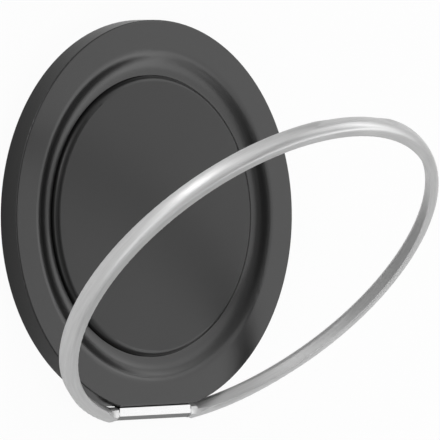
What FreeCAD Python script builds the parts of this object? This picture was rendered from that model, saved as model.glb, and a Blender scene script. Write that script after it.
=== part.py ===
import FreeCAD, Part
import math
import os

from FreeCAD import Vector

# Magnetic phone grip: a flat black disc that holds to the back of a phone by a ring of magnets,
# with a steel finger ring that folds down around the disc on a hinge at its lower edge.
# Millimetres. The origin is the centre of the back face, +Z points out of the front face and the
# hinge lies towards -Y. The ring is drawn folded around the disc, then turned to its open angle.

# Base disc
DISC_RADIUS = 29.0
DISC_THICKNESS = 3.4
FRONT_EDGE_ROUND = 0.2
BACK_EDGE_ROUND = 0.2
HINGE_FLAT_DEPTH = 1.1

# Front face: flat rim, groove with a rounded shoulder and a wide hollow, and the plate set inside it
RIM_WIDTH = 4.1
GROOVE_SHOULDER_WIDTH = 1.35
GROOVE_HOLLOW_WIDTH = 2.45
GROOVE_FLOOR_WIDTH = 0.25
GROOVE_DEPTH = 0.94
PLATE_THICKNESS = 1.9
PLATE_EDGE_ROUND = 0.9
PLATE_CLEARANCE = 0.1

# Soft pad let into the back face
PAD_RIM = 0.75
PAD_THICKNESS = 0.5
PAD_CLEARANCE = 0.05

# Magnets under the rim, and the steel shield over them
MAGNET_COUNT = 16
MAGNET_WIDTH = 4.2
MAGNET_THICKNESS = 1.0
MAGNET_EDGE_WALL = 1.9
MAGNET_SPACING = 0.3
MAGNET_FREE_ANGLE = 40.0
SHIELD_THICKNESS = 0.3
CHANNEL_CLEARANCE = 0.05

# Hinge block with its tongue, screws, pin and friction washers
BLOCK_LENGTH = 14.8
BLOCK_RADIUS = 0.95
BLOCK_CHAMFER = 0.6
HINGE_GAP = 0.2
HINGE_HEIGHT = 1.75
HINGE_FRONT_RISE = 0.835
TONGUE_WIDTH = 12.0
TONGUE_THICKNESS = 0.9
TONGUE_REACH = 6.4
TONGUE_CLEARANCE = 0.05
SCREW_SPACING = 7.0
SCREW_INSET = 3.2
SCREW_RADIUS = 0.5
SCREW_LENGTH = 1.9
SCREW_HEAD_RADIUS = 0.95
SCREW_CLEARANCE = 0.03
SCREW_SLOT_WIDTH = 0.3
SCREW_SLOT_DEPTH = 0.22
PIN_RADIUS = 0.45
PIN_CLEARANCE = 0.03
PIN_BITE = 2.2
PIN_END_CHAMFER = 0.12
WASHER_THICKNESS = 0.15
WASHER_EDGE = 0.12
WASHER_PLAY = 0.02

# Finger ring: nearly flat front with a large outer round, and a rounded back
RING_GAP = 1.03
RING_OFFSET = 0.56
RING_FRONT_WIDTH = 2.11
RING_FRONT_TILT = 0.15
RING_DEPTH = 2.41
RING_OUTER_DRAW_IN = 0.17
RING_INNER_LEAN = 0.3
RING_INNER_FRONT_ROUND = 0.12
RING_OUTER_FRONT_ROUND = 0.8
RING_OUTER_BACK_ROUND = 0.12
RING_INNER_BACK_ROUND = 1.15
RING_DISC_CLEARANCE = 0.12
LUG_LENGTH = 1.2
LUG_TAPER_LENGTH = 1.5
LUG_TAPER_DROP = 0.6
LUG_CLEAR_REACH = 5.0
END_SCOOP_RADIUS = 5.9
NAIL_RELIEF_WIDTH = 16.4
NAIL_RELIEF_DEPTH = 0.3
NAIL_RELIEF_START = 1.1
NAIL_RUN_OUT_RADIUS = 60.0
OPEN_ANGLE = 46.0

# Places worked out from the sizes above
HINGE_FLAT = DISC_RADIUS - HINGE_FLAT_DEPTH
GROOVE_OUTER_RADIUS = DISC_RADIUS - RIM_WIDTH
GROOVE_SLOPE_WIDTH = GROOVE_SHOULDER_WIDTH + GROOVE_HOLLOW_WIDTH
GROOVE_FLOOR_RADIUS = GROOVE_OUTER_RADIUS - GROOVE_SLOPE_WIDTH
SEAT_RADIUS = GROOVE_FLOOR_RADIUS - GROOVE_FLOOR_WIDTH
PLATE_RADIUS = SEAT_RADIUS - PLATE_CLEARANCE
SEAT_HEIGHT = DISC_THICKNESS - PLATE_THICKNESS
GROOVE_HEIGHT = DISC_THICKNESS - GROOVE_DEPTH
MAGNET_OUTER_RADIUS = DISC_RADIUS - MAGNET_EDGE_WALL
MAGNET_INNER_RADIUS = MAGNET_OUTER_RADIUS - MAGNET_WIDTH
MAGNET_TOP = PAD_THICKNESS + MAGNET_THICKNESS
SHIELD_TOP = MAGNET_TOP + SHIELD_THICKNESS
MAGNET_START_ANGLE = -90.0 + MAGNET_FREE_ANGLE / 2
MAGNET_ARC = 360.0 - MAGNET_FREE_ANGLE
TONGUE_TOP = PAD_THICKNESS + TONGUE_THICKNESS
HINGE_Y = -(HINGE_FLAT + HINGE_GAP + BLOCK_RADIUS)
HINGE_POINT = Vector(0, HINGE_Y, HINGE_HEIGHT)
HINGE_AXIS = Vector(1, 0, 0)
SCREW_Y = -(HINGE_FLAT - SCREW_INSET)
LUG_FACE = BLOCK_LENGTH / 2 + WASHER_THICKNESS + 2 * WASHER_PLAY
RING_FRONT_HEIGHT = HINGE_HEIGHT + HINGE_FRONT_RISE
RING_INNER_RADIUS = DISC_RADIUS + RING_GAP
RING_OUTER_RADIUS = RING_INNER_RADIUS + RING_FRONT_WIDTH
RING_BACK_RADIUS = RING_OUTER_RADIUS - RING_OUTER_DRAW_IN
RING_CENTRE = Vector(0, RING_OFFSET, 0)
SWEEP_RADIUS = DISC_RADIUS + RING_DISC_CLEARANCE

# Cutters run this far past the faces that they open
OVERRUN = 1.0
UP = Vector(0, 0, 1)
CENTRE = Vector(0, 0, 0)


def rounded_face(corners):
    """Flat face with straight sides; each corner is (point, rounding radius)."""
    edges = []
    ends = []
    for index, (point, radius) in enumerate(corners):
        before = corners[index - 1][0]
        after = corners[(index + 1) % len(corners)][0]
        if radius == 0:
            ends.append((point, point))
            continue
        back = (before - point).normalize()
        ahead = (after - point).normalize()
        half_angle = back.getAngle(ahead) / 2
        run = radius / math.tan(half_angle)
        middle = (back + ahead).normalize() * (radius / math.sin(half_angle) - radius)
        start = point + back * run
        end = point + ahead * run
        edges.append(Part.Arc(start, point + middle, end).toShape())
        ends.append((start, end))
    for index, (start, end) in enumerate(ends):
        edges.append(Part.LineSegment(ends[index - 1][1], start).toShape())
    return Part.Face(Part.Wire(Part.__sortEdges__(edges)))


def plain_face(points):
    """Flat face with straight sides and sharp corners."""
    return rounded_face([(point, 0) for point in points])


def flat_disc(radius, flat, bottom, top):
    """Round plate whose lower edge is cut straight at a distance from the centre."""
    disc = Part.makeCylinder(radius, top - bottom, Vector(0, 0, bottom))
    waste = Part.makeBox(2 * radius, radius, top - bottom, Vector(-radius, -flat - radius, bottom))
    return disc.cut(waste)


def sector(inner, outer, bottom, top, start_angle, arc):
    """Part of a flat ring, swept anticlockwise from a start angle."""
    outline = [Vector(inner, 0, bottom), Vector(outer, 0, bottom), Vector(outer, 0, top), Vector(inner, 0, top)]
    body = plain_face(outline).revolve(CENTRE, UP, arc)
    body.rotate(CENTRE, UP, start_angle)
    return body


def centred_box(width, y_low, y_high, bottom, top):
    """Box centred on the plane of symmetry."""
    return Part.makeBox(width, y_high - y_low, top - bottom, Vector(-width / 2, y_low, bottom))


def mirrored(shape):
    """The same shape on the other side of the plane of symmetry."""
    return shape.mirror(CENTRE, HINGE_AXIS)


def groove_cutter():
    """What is turned out of the front face: rounded shoulder, hollow, groove floor and the plate's seat."""
    rim = Vector(GROOVE_OUTER_RADIUS, 0, DISC_THICKNESS)
    floor = Vector(GROOVE_FLOOR_RADIUS, 0, GROOVE_HEIGHT)
    meeting = rim + (floor - rim) * (GROOVE_SHOULDER_WIDTH / GROOVE_SLOPE_WIDTH)
    bulge = math.tan(math.atan(GROOVE_DEPTH / GROOVE_SLOPE_WIDTH) / 2) / 2
    outward = Vector(-GROOVE_DEPTH, 0, GROOVE_SLOPE_WIDTH) * (bulge / GROOVE_SLOPE_WIDTH)
    shoulder_middle = (rim + meeting) * 0.5 + outward * GROOVE_SHOULDER_WIDTH
    hollow_middle = (meeting + floor) * 0.5 - outward * GROOVE_HOLLOW_WIDTH
    curves = [Part.Arc(rim, shoulder_middle, meeting).toShape(), Part.Arc(meeting, hollow_middle, floor).toShape()]
    above = DISC_THICKNESS + OVERRUN
    path = [floor, Vector(SEAT_RADIUS, 0, GROOVE_HEIGHT), Vector(SEAT_RADIUS, 0, SEAT_HEIGHT),
            Vector(0, 0, SEAT_HEIGHT), Vector(0, 0, above), Vector(GROOVE_OUTER_RADIUS, 0, above), rim]
    sides = [Part.LineSegment(a, b).toShape() for a, b in zip(path, path[1:])]
    outline = Part.Wire(Part.__sortEdges__(curves + sides))
    return Part.Face(outline).revolve(CENTRE, UP, 360)


def at_height(edge, height):
    """True for an edge that lies level at a height."""
    box = edge.BoundBox
    return abs(box.ZMin - height) < 1e-6 and abs(box.ZMax - height) < 1e-6


def base_disc():
    """Black disc: rounded edges, groove and plate seat in front, pockets for pad and magnets behind."""
    body = flat_disc(DISC_RADIUS, HINGE_FLAT, 0, DISC_THICKNESS)
    body = body.makeFillet(FRONT_EDGE_ROUND, [e for e in body.Edges if at_height(e, DISC_THICKNESS)])
    body = body.makeFillet(BACK_EDGE_ROUND, [e for e in body.Edges if at_height(e, 0)])
    body = body.cut(groove_cutter())
    body = body.cut(flat_disc(DISC_RADIUS - PAD_RIM, HINGE_FLAT - PAD_RIM, -OVERRUN, PAD_THICKNESS))
    body = body.cut(sector(MAGNET_INNER_RADIUS - CHANNEL_CLEARANCE, MAGNET_OUTER_RADIUS + CHANNEL_CLEARANCE,
                           PAD_THICKNESS - OVERRUN / 2, SHIELD_TOP, MAGNET_START_ANGLE, MAGNET_ARC))
    slot_end = -(HINGE_FLAT - TONGUE_REACH) + TONGUE_CLEARANCE
    body = body.cut(centred_box(TONGUE_WIDTH + 2 * TONGUE_CLEARANCE, -HINGE_FLAT - OVERRUN, slot_end,
                                PAD_THICKNESS, TONGUE_TOP))
    for x in (-SCREW_SPACING / 2, SCREW_SPACING / 2):
        body = body.cut(Part.makeCylinder(SCREW_RADIUS + SCREW_CLEARANCE, SCREW_LENGTH + SCREW_CLEARANCE,
                                          Vector(x, SCREW_Y, PAD_THICKNESS)))
    return body


def centre_plate():
    """Round plate inside the groove, with a rolled front edge."""
    outline = [(Vector(0, 0, SEAT_HEIGHT), 0), (Vector(PLATE_RADIUS, 0, SEAT_HEIGHT), 0),
               (Vector(PLATE_RADIUS, 0, DISC_THICKNESS), PLATE_EDGE_ROUND), (Vector(0, 0, DISC_THICKNESS), 0)]
    return rounded_face(outline).revolve(CENTRE, UP, 360)


def back_pad():
    """Soft sheet that meets the phone."""
    return flat_disc(DISC_RADIUS - PAD_RIM - PAD_CLEARANCE, HINGE_FLAT - PAD_RIM - PAD_CLEARANCE, 0, PAD_THICKNESS)


def magnet(index):
    """One arc magnet of the ring."""
    pitch = MAGNET_ARC / MAGNET_COUNT
    gap = math.degrees(MAGNET_SPACING / MAGNET_OUTER_RADIUS)
    start = MAGNET_START_ANGLE + index * pitch + gap / 2
    return sector(MAGNET_INNER_RADIUS, MAGNET_OUTER_RADIUS, PAD_THICKNESS, MAGNET_TOP, start, pitch - gap)


def magnet_shield():
    """Thin steel arc over the magnets, which turns their field towards the phone."""
    gap = math.degrees(CHANNEL_CLEARANCE / MAGNET_INNER_RADIUS)
    return sector(MAGNET_INNER_RADIUS, MAGNET_OUTER_RADIUS, MAGNET_TOP, SHIELD_TOP,
                  MAGNET_START_ANGLE + gap, MAGNET_ARC - 2 * gap)


def screw_blank(x, growth):
    """Countersunk head and shank of a hinge screw, grown all round by a clearance."""
    head = SCREW_HEAD_RADIUS + growth
    shank = SCREW_RADIUS + growth
    outline = [Vector(0, 0, 0), Vector(head, 0, 0), Vector(shank, 0, head - shank),
               Vector(shank, 0, SCREW_LENGTH), Vector(0, 0, SCREW_LENGTH)]
    body = plain_face(outline).revolve(CENTRE, UP, 360)
    body.translate(Vector(x, SCREW_Y, PAD_THICKNESS))
    return body


def hinge_screw(x):
    """Slotted countersunk screw that holds the tongue to the disc."""
    slot = Part.makeBox(2 * SCREW_HEAD_RADIUS, SCREW_SLOT_WIDTH, SCREW_SLOT_DEPTH,
                        Vector(x - SCREW_HEAD_RADIUS, SCREW_Y - SCREW_SLOT_WIDTH / 2, PAD_THICKNESS))
    return screw_blank(x, 0).cut(slot)


def along_hinge(radius, start, end):
    """Cylinder on the hinge axis between two places along it."""
    return Part.makeCylinder(radius, end - start, HINGE_POINT + HINGE_AXIS * start, HINGE_AXIS)


def hinge_block():
    """Polished bar with a flat front and a tongue that is screwed under the disc."""
    front = RING_FRONT_HEIGHT
    top = HINGE_Y + BLOCK_RADIUS
    bottom = HINGE_Y - BLOCK_RADIUS
    back = HINGE_HEIGHT - BLOCK_RADIUS
    x = -BLOCK_LENGTH / 2
    section = [(Vector(x, top, back), 0), (Vector(x, top, front), 0),
               (Vector(x, bottom + BLOCK_CHAMFER, front), 0), (Vector(x, bottom, front - BLOCK_CHAMFER), 0),
               (Vector(x, bottom, back), BLOCK_RADIUS)]
    block = rounded_face(section).extrude(HINGE_AXIS * BLOCK_LENGTH)
    tongue = centred_box(TONGUE_WIDTH, HINGE_Y, -(HINGE_FLAT - TONGUE_REACH), PAD_THICKNESS, TONGUE_TOP)
    block = block.fuse(tongue).removeSplitter()
    block = block.cut(along_hinge(PIN_RADIUS + PIN_CLEARANCE, -BLOCK_LENGTH, BLOCK_LENGTH))
    for screw_x in (-SCREW_SPACING / 2, SCREW_SPACING / 2):
        block = block.cut(screw_blank(screw_x, SCREW_CLEARANCE))
    return block


def hinge_pin():
    """Steel pin, pressed into the ring's lugs and turning in the block."""
    half = LUG_FACE + PIN_BITE
    outline = [Vector(-half, 0, 0), Vector(-half, PIN_RADIUS - PIN_END_CHAMFER, 0),
               Vector(-half + PIN_END_CHAMFER, PIN_RADIUS, 0), Vector(half - PIN_END_CHAMFER, PIN_RADIUS, 0),
               Vector(half, PIN_RADIUS - PIN_END_CHAMFER, 0), Vector(half, 0, 0)]
    pin = plain_face(outline).revolve(CENTRE, HINGE_AXIS, 360)
    pin.translate(HINGE_POINT)
    return pin


def friction_washer():
    """Washer between the block's right end and the ring's lug."""
    start = BLOCK_LENGTH / 2 + WASHER_PLAY
    end = start + WASHER_THICKNESS
    disc = along_hinge(BLOCK_RADIUS - WASHER_EDGE, start, end)
    return disc.cut(along_hinge(PIN_RADIUS + PIN_CLEARANCE, start, end))


def swept_edge(x):
    """How near the disc's edge comes to the hinge axis at a place along it, less a clearance."""
    return -math.sqrt(SWEEP_RADIUS ** 2 - x ** 2) - HINGE_Y


def ring_band():
    """The ring's section turned about its centre, folded around the disc."""
    front = RING_FRONT_HEIGHT
    back = front - RING_DEPTH
    section = [(Vector(RING_INNER_RADIUS, 0, front + RING_FRONT_TILT), RING_INNER_FRONT_ROUND),
               (Vector(RING_OUTER_RADIUS, 0, front), RING_OUTER_FRONT_ROUND),
               (Vector(RING_BACK_RADIUS, 0, back), RING_OUTER_BACK_ROUND),
               (Vector(RING_INNER_RADIUS + RING_INNER_LEAN, 0, back), RING_INNER_BACK_ROUND)]
    band = rounded_face(section).revolve(CENTRE, UP, 360)
    return band.cut(nail_relief())


def nail_relief():
    """Shallow bevel on the back of the ring's free end, for a fingernail, which runs out at both ends."""
    back = RING_FRONT_HEIGHT - RING_DEPTH
    start = RING_FRONT_HEIGHT - NAIL_RELIEF_START
    wall = RING_OUTER_RADIUS - RING_OUTER_DRAW_IN * NAIL_RELIEF_START / RING_DEPTH
    edge = RING_BACK_RADIUS
    clear = RING_OUTER_RADIUS + OVERRUN
    outline = [Vector(wall, 0, start), Vector(edge - NAIL_RELIEF_DEPTH, 0, back),
               Vector(clear, 0, back), Vector(clear, 0, start)]
    half = NAIL_RELIEF_WIDTH / 2
    half_angle = math.degrees(math.asin((half + OVERRUN) / edge))
    bevel = plain_face(outline).revolve(CENTRE, UP, 2 * half_angle)
    bevel.rotate(CENTRE, UP, 90 - half_angle)
    run_out_y = math.sqrt(edge ** 2 - half ** 2) - math.sqrt(NAIL_RUN_OUT_RADIUS ** 2 - half ** 2)
    return bevel.cut(Part.makeCylinder(NAIL_RUN_OUT_RADIUS, RING_DEPTH, Vector(0, run_out_y, back)))


def disc_sweep():
    """Space that the disc's edge needs as the right end of the ring turns past it."""
    near = LUG_FACE - OVERRUN / 10
    far = LUG_FACE + LUG_CLEAR_REACH
    middle = (near + far) / 2
    clear = swept_edge(far) + OVERRUN
    edge = [Vector(x, swept_edge(x), 0) for x in (near, middle, far)]
    sides = [edge[2], Vector(far, clear, 0), Vector(near, clear, 0), edge[0]]
    lines = [Part.LineSegment(a, b).toShape() for a, b in zip(sides, sides[1:])]
    outline = Part.Wire(Part.__sortEdges__([Part.Arc(*edge).toShape()] + lines))
    space = Part.Face(outline).revolve(CENTRE, HINGE_AXIS, 360)
    space.translate(HINGE_POINT)
    return space


def lug():
    """Turned end of the ring that holds the pin on the right, flat in front like the ring."""
    radius = BLOCK_RADIUS + HINGE_GAP - RING_DISC_CLEARANCE
    shoulder = LUG_FACE + LUG_LENGTH
    end = shoulder + LUG_TAPER_LENGTH
    outline = [Vector(LUG_FACE, 0, 0), Vector(LUG_FACE, radius, 0), Vector(shoulder, radius, 0),
               Vector(end, radius - LUG_TAPER_DROP, 0), Vector(end, 0, 0)]
    body = plain_face(outline).revolve(CENTRE, HINGE_AXIS, 360)
    body.translate(HINGE_POINT)
    reach = 2 * BLOCK_RADIUS
    front = Part.makeBox(end, 2 * reach, reach, Vector(0, HINGE_Y - reach, RING_FRONT_HEIGHT))
    return body.cut(front)


def end_scoop():
    """Hollow that brings the right end of the open ring level with the front of the hinge block."""
    reach = 2 * BLOCK_RADIUS
    middle = Vector(LUG_FACE, HINGE_Y - reach, RING_FRONT_HEIGHT + END_SCOOP_RADIUS)
    return Part.makeCylinder(END_SCOOP_RADIUS, 2 * reach, middle, Vector(0, 1, 0))


def finger_ring():
    """Steel ring, open at the hinge, with a lug at each end, turned to its open angle."""
    ring = ring_band()
    ring.translate(RING_CENTRE)
    ring = ring.cut(centred_box(2 * LUG_FACE, -2 * DISC_RADIUS, 0, -DISC_RADIUS, DISC_RADIUS))
    ring = ring.cut(disc_sweep()).cut(mirrored(disc_sweep()))
    ring = ring.fuse([lug(), mirrored(lug())]).removeSplitter()
    bore_end = LUG_FACE + PIN_BITE
    ring = ring.cut(along_hinge(PIN_RADIUS, -bore_end, bore_end))
    ring.rotate(HINGE_POINT, HINGE_AXIS, OPEN_ANGLE)
    return ring.cut(end_scoop()).cut(mirrored(end_scoop()))


def all_pieces():
    """Every piece of the grip by name."""
    pieces = {
        "base_disc": base_disc(),
        "centre_plate": centre_plate(),
        "back_pad": back_pad(),
        "magnet_shield": magnet_shield(),
        "hinge_block": hinge_block(),
        "hinge_screw_left": hinge_screw(-SCREW_SPACING / 2),
        "hinge_screw_right": hinge_screw(SCREW_SPACING / 2),
        "hinge_pin": hinge_pin(),
        "friction_washer_left": mirrored(friction_washer()),
        "friction_washer_right": friction_washer(),
        "finger_ring": finger_ring(),
    }
    for index in range(MAGNET_COUNT):
        pieces["magnet_%02d" % (index + 1)] = magnet(index)
    return pieces


os.makedirs("parts", exist_ok=True)
for name, shape in all_pieces().items():
    shape.exportStep("parts/%s.step" % name)
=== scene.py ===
"""Looks of the phone grip: materials, floor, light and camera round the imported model, in metres."""
import math

import bmesh
import bpy
from mathutils import Matrix, Vector


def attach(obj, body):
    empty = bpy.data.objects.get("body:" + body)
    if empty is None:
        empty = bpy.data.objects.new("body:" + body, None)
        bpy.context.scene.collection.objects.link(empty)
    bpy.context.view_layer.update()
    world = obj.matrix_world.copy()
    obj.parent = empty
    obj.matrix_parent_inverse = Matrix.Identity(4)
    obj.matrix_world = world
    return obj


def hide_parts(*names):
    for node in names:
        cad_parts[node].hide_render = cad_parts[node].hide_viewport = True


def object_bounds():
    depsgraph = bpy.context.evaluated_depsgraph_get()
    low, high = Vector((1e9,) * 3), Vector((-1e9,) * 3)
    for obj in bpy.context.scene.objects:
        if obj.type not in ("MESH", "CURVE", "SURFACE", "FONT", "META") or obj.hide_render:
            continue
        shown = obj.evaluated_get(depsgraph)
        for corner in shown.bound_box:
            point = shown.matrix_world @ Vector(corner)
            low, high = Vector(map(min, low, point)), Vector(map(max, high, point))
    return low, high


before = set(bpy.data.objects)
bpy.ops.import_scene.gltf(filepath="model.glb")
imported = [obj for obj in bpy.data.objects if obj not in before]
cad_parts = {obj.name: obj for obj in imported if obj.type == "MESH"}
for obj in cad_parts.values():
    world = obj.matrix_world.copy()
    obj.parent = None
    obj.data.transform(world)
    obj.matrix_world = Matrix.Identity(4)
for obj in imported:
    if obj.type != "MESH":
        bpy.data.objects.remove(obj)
cad_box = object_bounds()

MM = 0.001

# Camera: a long lens that looks at the front from its left, turned so that the hinge is at the bottom
LENS = 1500.0
SENSOR = 36.0
VIEW_CENTRE = Vector((1.84, -0.62, 14.95)) * MM
VIEW_DISTANCE = 2.703
VIEW_DEPTH = 4 * VIEW_DISTANCE
VIEW_AZIMUTH = math.radians(178.17)
VIEW_ELEVATION = math.radians(44.51)
VIEW_ROLL = math.radians(90.2)

# Floor: its own colour, and the share of plain white in it that the camera and reflections see
FLOOR_SIZE = 24.0
FLOOR_GAP = 0.02 * MM
FLOOR_COLOUR = (0.7, 0.7, 0.7, 1.0)
FLOOR_ROUGHNESS = 0.9
SEEN_WHITE = 0.95
REFLECTED_WHITE = 0.3

# Softboxes: middle and half size in degrees, sideways from the camera and then up, distance, and brightness
SOFTBOXES = {
    "right": {"middle": (97, 2), "half": (17, 48), "distance": 0.15, "brightness": 1.05},
    "right_wide": {"middle": (81, 2), "half": (30, 48), "distance": 1.2, "brightness": 0.45},
    "right_edge": {"middle": (101, 2), "half": (4, 45), "distance": 1.2, "brightness": 0.8},
    "right_above": {"middle": (90, 33), "half": (20, 20), "distance": 1.2, "brightness": 0.55},
    "right_below": {"middle": (85, -25), "half": (18, 13), "distance": 1.2, "brightness": 0.65},
    "front": {"middle": (6, 5), "half": (28, 50), "distance": 1.2, "brightness": 0.5},
    "front_above": {"middle": (-5, 27), "half": (20, 14), "distance": 1.2, "brightness": 0.2},
    "left": {"middle": (-29, 5), "half": (13, 52), "distance": 1.2, "brightness": 1.4},
    "left_above": {"middle": (-30, 36), "half": (8, 7), "distance": 1.2, "brightness": 3.0},
    "above": {"middle": (25, 60), "half": (35, 18), "distance": 1.2, "brightness": 0.6},
    "below": {"middle": (30, -62), "half": (40, 20), "distance": 1.2, "brightness": 0.6},
}

# Sky: its brightness, and the heights between which the white below the horizon gives way to it
SKY_BRIGHTNESS = 0.1
SKY_HORIZON = (0.02, 0.06)

# Places on the part that its finishes and its painted shade follow
RING_CENTRE = Vector((0.0, -8.48, 23.05)) * MM
RING_OPEN_ANGLE = math.radians(46.0)
RING_RADIUS = 31.0 * MM
BAR_TOP_EDGE = -28.18 * MM
BAR_TOP_BLEND = 0.01 * MM
BAR_CHAMFER_EDGE = -29.4 * MM
BAR_CHAMFER_BLEND = 0.05 * MM

# Finishes: greys and roughness from lowest to highest, marks per metre, relief as strength and depth
FINE_DETAIL = 3.0
STREAK_STRETCH = 20.0
BLACKS = {
    "satin_black": {"ior": 1.53, "roughness": (0.2, 0.28)},
    "plate_black": {"ior": 1.46, "roughness": (0.27, 0.35)},
}
BLACK_GREYS = (0.002, 0.004)
BLACK_GRAINS = 6000.0
BLACK_CLOUDS = 90.0
BLACK_RELIEF = (0.35, 0.002 * MM)
RING_METALLIC = 0.5
RING_GREYS = (0.51, 0.69)
RING_ROUGHNESS = (0.28, 0.36)
RING_STREAKS = 3500.0
RING_RELIEF = (0.1, 0.004 * MM)
BAR_GREYS = (0.56, 0.6)
BAR_ROUGHNESS = (0.12, 0.2)
BAR_LINES = 4000.0
# Painted shade on the bar's chamfer: darker, standing in for a darker reflection
BAR_CHAMFER_PAINTED_SHADE = 0.4
# Painted shade on the bar's tongue in the gap under the disc: nearly black
BAR_TONGUE_PAINTED_SHADE = 0.01
METALS = {
    # Painted shade: the nearly black strip in the gap between disc and bar
    "painted_shade_black": {"greys": (0.006, 0.012), "roughness": (0.44, 0.56)},
    "pin_steel": {"greys": (0.6, 0.68), "roughness": (0.19, 0.31)},
    "shield_steel": {"greys": (0.5, 0.58), "roughness": (0.34, 0.46)},
    "magnet_nickel": {"greys": (0.6, 0.66), "roughness": (0.24, 0.36)},
    "washer_steel": {"greys": (0.5, 0.6), "roughness": (0.34, 0.46)},
}
METAL_MARKS = 2500.0
PAD_IOR = 1.45
PAD_GREYS = (0.015, 0.03)
PAD_ROUGHNESS = (0.55, 0.7)
PAD_GRAINS = 4000.0
PAD_RELIEF = (0.4, 0.02 * MM)

# Crown of the ring's outer wall: its slope at the back, at the front corner and past it, by depth
CROWN_SLOPES = ((-1.58 * MM, 0.18), (0.03 * MM, -0.25), (0.5 * MM, 0.0))
CROWN_STEP = 0.1 * MM
CROWN_RADII = (30.6 * MM, 31.4 * MM)
CROWN_FADE = (-27.0 * MM, -22.0 * MM)
WELD_DISTANCE = 0.0005 * MM
SHARP_ANGLE = math.radians(35.0)

# Painted shade: a nearly black strip that fills the gap between the disc and the bar, where the gap is in
# shade
STRIP_LOW = Vector((-7.35, -28.08, 1.42)) * MM
STRIP_HIGH = Vector((7.35, -27.92, 2.3)) * MM
STRIP_BEVEL = 0.03 * MM
STRIP_BEVEL_STEPS = 2


def axes_of_view():
    """Right, up and back axes of the camera in the model's frame."""
    back = Vector((
        math.cos(VIEW_ELEVATION) * math.cos(VIEW_AZIMUTH),
        math.cos(VIEW_ELEVATION) * math.sin(VIEW_AZIMUTH),
        math.sin(VIEW_ELEVATION),
    ))
    level_right = Vector((0, 0, 1)).cross(back).normalized()
    level_up = back.cross(level_right)
    right = level_right * math.cos(VIEW_ROLL) + level_up * math.sin(VIEW_ROLL)
    return right, back.cross(right), back


def add_camera():
    """The camera at the photograph's viewing angle."""
    right, up, back = axes_of_view()
    data = bpy.data.cameras.new("camera")
    data.lens = LENS
    data.sensor_width = SENSOR
    data.clip_end = VIEW_DEPTH
    camera = bpy.data.objects.new("camera", data)
    place = Matrix((right, up, back)).transposed().to_4x4()
    place.translation = VIEW_CENTRE + back * VIEW_DISTANCE
    camera.matrix_world = place
    bpy.context.scene.collection.objects.link(camera)
    bpy.context.scene.camera = camera


class Nodes:
    """A new material's node tree, with short ways to add and join nodes."""

    def __init__(self, name, **constants):
        self.material = bpy.data.materials.new(name)
        self.material.use_nodes = True
        self.tree = self.material.node_tree
        self.shader = self.tree.nodes["Principled BSDF"]
        for socket, value in constants.items():
            self.shader.inputs[socket.replace("_", " ")].default_value = value

    def add(self, kind, **settings):
        node = self.tree.nodes.new("ShaderNode" + kind)
        for key, value in settings.items():
            setattr(node, key, value)
        return node

    def join(self, source, target):
        self.tree.links.new(source, target)

    def place(self):
        """The place on the object, in its own frame."""
        return self.add("TexCoord").outputs["Object"]

    def split(self, vector):
        node = self.add("SeparateXYZ")
        self.join(vector, node.inputs[0])
        return node.outputs

    def merge(self, *parts):
        node = self.add("CombineXYZ")
        for part, socket in zip(parts, node.inputs):
            self.join(part, socket)
        return node.outputs[0]

    def maths(self, operation, *parts):
        node = self.add("Math", operation=operation)
        for part, socket in zip(parts, node.inputs):
            if isinstance(part, float):
                socket.default_value = part
            else:
                self.join(part, socket)
        return node.outputs[0]

    def noise(self, vector, scale, detail=2.0):
        node = self.add("TexNoise")
        node.inputs["Scale"].default_value = scale
        node.inputs["Detail"].default_value = detail
        self.join(vector, node.inputs["Vector"])
        return node.outputs["Fac"]

    def spread(self, source, low, high, start=0.0, end=1.0):
        """Maps a value from start..end to low..high."""
        node = self.add("MapRange")
        for socket, value in zip(("From Min", "From Max", "To Min", "To Max"), (start, end, low, high)):
            node.inputs[socket].default_value = value
        self.join(source, node.inputs["Value"])
        return node.outputs["Result"]

    def colour(self, source):
        """Uses a value as a grey of the surface."""
        self.join(source, self.shader.inputs["Base Color"])

    def roughness(self, source):
        self.join(source, self.shader.inputs["Roughness"])

    def bump(self, source, strength, distance):
        node = self.add("Bump")
        node.inputs["Strength"].default_value = strength
        node.inputs["Distance"].default_value = distance
        self.join(source, node.inputs["Height"])
        self.join(node.outputs["Normal"], self.shader.inputs["Normal"])


def satin_black(name):
    """Black anodised metal with a fine blasted grain."""
    nodes = Nodes(name, IOR=BLACKS[name]["ior"])
    grain = nodes.noise(nodes.place(), BLACK_GRAINS, FINE_DETAIL)
    cloud = nodes.noise(nodes.place(), BLACK_CLOUDS)
    nodes.colour(nodes.spread(grain, *BLACK_GREYS))
    nodes.roughness(nodes.spread(cloud, *BLACKS[name]["roughness"]))
    nodes.bump(grain, *BLACK_RELIEF)
    return nodes.material


def brushed_ring():
    """Satin steel, brushed along the ring."""
    nodes = Nodes("brushed_steel", Metallic=RING_METALLIC)
    turn = nodes.add("Mapping", vector_type="TEXTURE")
    turn.inputs["Location"].default_value = RING_CENTRE
    turn.inputs["Rotation"].default_value = (RING_OPEN_ANGLE, 0, 0)
    nodes.join(nodes.place(), turn.inputs["Vector"])
    x, y, depth = nodes.split(turn.outputs["Vector"])
    x_squared = nodes.maths("MULTIPLY", x, x)
    y_squared = nodes.maths("MULTIPLY", y, y)
    radius = nodes.maths("SQRT", nodes.maths("ADD", x_squared, y_squared))
    along = nodes.maths("MULTIPLY", nodes.maths("ARCTAN2", x, y), RING_RADIUS / STREAK_STRETCH)
    streaks = nodes.noise(nodes.merge(radius, depth, along), RING_STREAKS)
    nodes.colour(nodes.spread(streaks, *RING_GREYS))
    nodes.roughness(nodes.spread(streaks, *RING_ROUGHNESS))
    nodes.bump(streaks, *RING_RELIEF)
    return nodes.material


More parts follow.
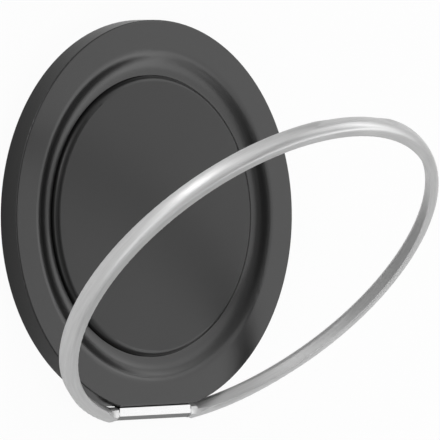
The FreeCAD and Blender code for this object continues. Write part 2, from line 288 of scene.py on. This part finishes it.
def polished_bar():
    """Polished steel with faint lengthwise lines, with painted shade: darker on its chamfer and nearly black
    on its tongue in the gap.
    """
    nodes = Nodes("polished_steel", Metallic=1.0)
    x, y, z = nodes.split(nodes.place())
    lines = nodes.noise(nodes.merge(nodes.maths("DIVIDE", x, STREAK_STRETCH), y, z), BAR_LINES)
    bright = nodes.spread(lines, *BAR_GREYS)
    # Painted shade: darker below the chamfer edge, standing in for a darker reflection
    chamfer_painted_shade = nodes.spread(y, BAR_CHAMFER_PAINTED_SHADE, 1.0, BAR_CHAMFER_EDGE - BAR_CHAMFER_BLEND, BAR_CHAMFER_EDGE)
    # Painted shade: nearly black on the tongue above the bar's top edge, in the gap under the disc
    tongue_painted_shade = nodes.spread(y, 1.0, BAR_TONGUE_PAINTED_SHADE, BAR_TOP_EDGE, BAR_TOP_EDGE + BAR_TOP_BLEND)
    nodes.colour(nodes.maths("MULTIPLY", nodes.maths("MULTIPLY", bright, chamfer_painted_shade), tongue_painted_shade))
    nodes.roughness(nodes.spread(lines, *BAR_ROUGHNESS))
    return nodes.material


def plain_metal(name):
    """Bare metal with faint marks of its finishing; also the nearly black painted shade in the gap between
    disc and bar.
    """
    nodes = Nodes(name, Metallic=1.0)
    marks = nodes.noise(nodes.place(), METAL_MARKS, FINE_DETAIL)
    nodes.colour(nodes.spread(marks, *METALS[name]["greys"]))
    nodes.roughness(nodes.spread(marks, *METALS[name]["roughness"]))
    return nodes.material


def soft_pad():
    """Soft dark polymer with a fine grain."""
    nodes = Nodes("pad_black", IOR=PAD_IOR)
    grain = nodes.noise(nodes.place(), PAD_GRAINS, FINE_DETAIL)
    nodes.colour(nodes.spread(grain, *PAD_GREYS))
    nodes.roughness(nodes.spread(grain, *PAD_ROUGHNESS))
    nodes.bump(grain, *PAD_RELIEF)
    return nodes.material


def floor_white():
    """Pale floor that shows the camera almost plain white, and reflections a share of that white."""
    nodes = Nodes("floor_white", Base_Color=FLOOR_COLOUR, Roughness=FLOOR_ROUGHNESS, Specular_IOR_Level=0.0)
    path = nodes.add("LightPath").outputs
    seen = nodes.maths("MULTIPLY", path["Is Camera Ray"], SEEN_WHITE)
    mirrored = nodes.maths("MAXIMUM", path["Is Glossy Ray"], path["Is Transmission Ray"])
    reflected = nodes.maths("MULTIPLY", mirrored, REFLECTED_WHITE)
    mix = nodes.add("MixShader")
    nodes.join(nodes.maths("MAXIMUM", seen, reflected), mix.inputs["Fac"])
    nodes.join(nodes.shader.outputs[0], mix.inputs[1])
    nodes.join(nodes.add("Emission").outputs[0], mix.inputs[2])
    nodes.join(mix.outputs[0], nodes.tree.nodes["Material Output"].inputs["Surface"])
    return nodes.material


def dress(material, *names):
    """Gives nodes of the frame their material."""
    for name in names:
        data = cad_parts[name].data
        data.materials.clear()
        data.materials.append(material)


def add_piece(name, mesh, body, material):
    """A new piece of the part, which rides on a body."""
    data = bpy.data.meshes.new(name)
    mesh.to_mesh(data)
    mesh.free()
    data.materials.append(material)
    piece = bpy.data.objects.new(name, data)
    bpy.context.scene.collection.objects.link(piece)
    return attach(piece, body)


def share(value, start, end):
    """How far a value is from start to end, as 0 to 1."""
    return min(max((value - start) / (end - start), 0.0), 1.0)


def crown_rise(depth):
    """How far the crown stands out at a depth, counted from its back edge."""
    rise = 0.0
    for (start, slope), (end, next_slope) in zip(CROWN_SLOPES, CROWN_SLOPES[1:]):
        part = share(depth, start, end)
        reached = slope + part * (next_slope - slope)
        rise += part * (end - start) * (slope + reached) / 2
    return rise


def crest_depth():
    """The depth where the crown stands out most, because its slope passes zero there."""
    (back, back_slope), (front, front_slope) = CROWN_SLOPES[:2]
    return back + (front - back) * back_slope / (back_slope - front_slope)


def ring_frame():
    """The open ring's own frame, at its centre and with its axis along Z."""
    return Matrix.Translation(RING_CENTRE) @ Matrix.Rotation(RING_OPEN_ANGLE, 4, "X")


def slice_ring(mesh):
    """Cuts the ring's faces along planes across its depth, so that its outer wall can curve."""
    axis = ring_frame().to_3x3() @ Vector((0, 0, 1))
    depth = CROWN_SLOPES[0][0] + CROWN_STEP
    while depth < CROWN_SLOPES[-1][0]:
        parts = mesh.verts[:] + mesh.edges[:] + mesh.faces[:]
        place = RING_CENTRE + axis * depth
        bmesh.ops.bisect_plane(mesh, geom=parts, dist=WELD_DISTANCE, plane_co=place, plane_no=axis)
        depth += CROWN_STEP


def draw_in(mesh):
    """Draws the ring's outer wall in to its crown, and leaves it as it is near the hinge."""
    opened = ring_frame()
    flat = opened.inverted()
    highest = crown_rise(crest_depth())
    for vertex in mesh.verts:
        place = flat @ vertex.co
        radius = math.hypot(place.x, place.y)
        weight = share(radius, *CROWN_RADII) * share(place.y, *CROWN_FADE)
        shift = weight * (crown_rise(place.z) - highest)
        place.x *= 1 + shift / radius
        place.y *= 1 + shift / radius
        vertex.co = opened @ place


def smooth(mesh):
    """Shades the faces smoothly and keeps sharp edges sharp."""
    for face in mesh.faces:
        face.smooth = True
    for edge in mesh.edges:
        edge.smooth = edge.calc_face_angle(0.0) < SHARP_ANGLE


def crowned_ring(material):
    """The finger ring with a slightly crowned outer wall, which the solid has straight."""
    mesh = bmesh.new()
    mesh.from_mesh(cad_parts["finger_ring"].data)
    bmesh.ops.remove_doubles(mesh, verts=mesh.verts, dist=WELD_DISTANCE)
    slice_ring(mesh)
    draw_in(mesh)
    smooth(mesh)
    return add_piece("crowned_ring", mesh, "ring", material)


def painted_shade_strip(material):
    """Nearly black strip that fills the gap between the disc and the bar, as painted shade."""
    mesh = bmesh.new()
    size = STRIP_HIGH - STRIP_LOW
    place = Matrix.Translation((STRIP_LOW + STRIP_HIGH) / 2) @ Matrix.Diagonal((*size, 1))
    bmesh.ops.create_cube(mesh, size=1, matrix=place)
    bmesh.ops.bevel(
        mesh, geom=mesh.edges[:], offset=STRIP_BEVEL, segments=STRIP_BEVEL_STEPS, affect="EDGES",
    )
    return add_piece("painted_shade_strip", mesh, "base", material)


def add_floor():
    """A wide pale floor under the part, which looks white and keeps the part's shadow."""
    half = FLOOR_SIZE / 2
    corners = [(-half, -half, 0), (half, -half, 0), (half, half, 0), (-half, half, 0)]
    data = bpy.data.meshes.new("floor")
    data.from_pydata(corners, [], [(0, 1, 2, 3)])
    data.materials.append(floor_white())
    floor = bpy.data.objects.new("floor", data)
    floor.location.z = cad_box[0].z - FLOOR_GAP
    bpy.context.scene.collection.objects.link(floor)


def add_sky():
    """Even light from above, and plain white below the horizon, where the floor ends."""
    world = bpy.data.worlds.new("sky")
    world.use_nodes = True
    tree = world.node_tree
    background = tree.nodes["Background"]
    background.inputs["Color"].default_value = (1, 1, 1, 1)
    place = tree.nodes.new("ShaderNodeTexCoord")
    split = tree.nodes.new("ShaderNodeSeparateXYZ")
    height = tree.nodes.new("ShaderNodeMapRange")
    height.inputs["From Min"].default_value = SKY_HORIZON[0]
    height.inputs["From Max"].default_value = SKY_HORIZON[1]
    height.inputs["To Min"].default_value = 1.0
    height.inputs["To Max"].default_value = SKY_BRIGHTNESS
    tree.links.new(place.outputs["Generated"], split.inputs[0])
    tree.links.new(split.outputs["Z"], height.inputs["Value"])
    tree.links.new(height.outputs["Result"], background.inputs["Strength"])
    bpy.context.scene.world = world


def add_softbox(name, middle, half, distance, brightness):
    """A wide soft lamp that faces the part, unseen by the camera itself."""
    right, up, back = axes_of_view()
    sideways, above = (math.radians(angle) for angle in middle)
    level = right * math.sin(sideways) + back * math.cos(sideways)
    toward = level * math.cos(above) + up * math.sin(above)
    data = bpy.data.lights.new(name, "AREA")
    data.shape = "RECTANGLE"
    data.size, data.size_y = (2 * distance * math.tan(math.radians(angle)) for angle in half)
    data.energy = brightness * math.pi * data.size * data.size_y
    across = up.cross(toward).normalized()
    place = Matrix((across, toward.cross(across), toward)).transposed().to_4x4()
    place.translation = VIEW_CENTRE + toward * distance
    lamp = bpy.data.objects.new(name, data)
    lamp.matrix_world = place
    lamp.visible_camera = False
    bpy.context.scene.collection.objects.link(lamp)


add_camera()
add_floor()
add_sky()
for name, softbox in SOFTBOXES.items():
    add_softbox(name, **softbox)

magnets = [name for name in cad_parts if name.startswith("magnet_") and name != "magnet_shield"]
dress(satin_black("satin_black"), "base_disc")
dress(satin_black("plate_black"), "centre_plate")
ring = crowned_ring(brushed_ring())
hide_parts("finger_ring")
# Painted shade: a nearly black strip in the gap between disc and bar
strip = painted_shade_strip(plain_metal("painted_shade_black"))
dress(polished_bar(), "hinge_block")
dress(plain_metal("pin_steel"), "hinge_pin", "hinge_screw_left", "hinge_screw_right")
dress(plain_metal("shield_steel"), "magnet_shield")
dress(plain_metal("magnet_nickel"), *magnets)
dress(plain_metal("washer_steel"), "friction_washer_left", "friction_washer_right")
dress(soft_pad(), "back_pad")

bpy.context.scene.view_settings.view_transform = "Standard"
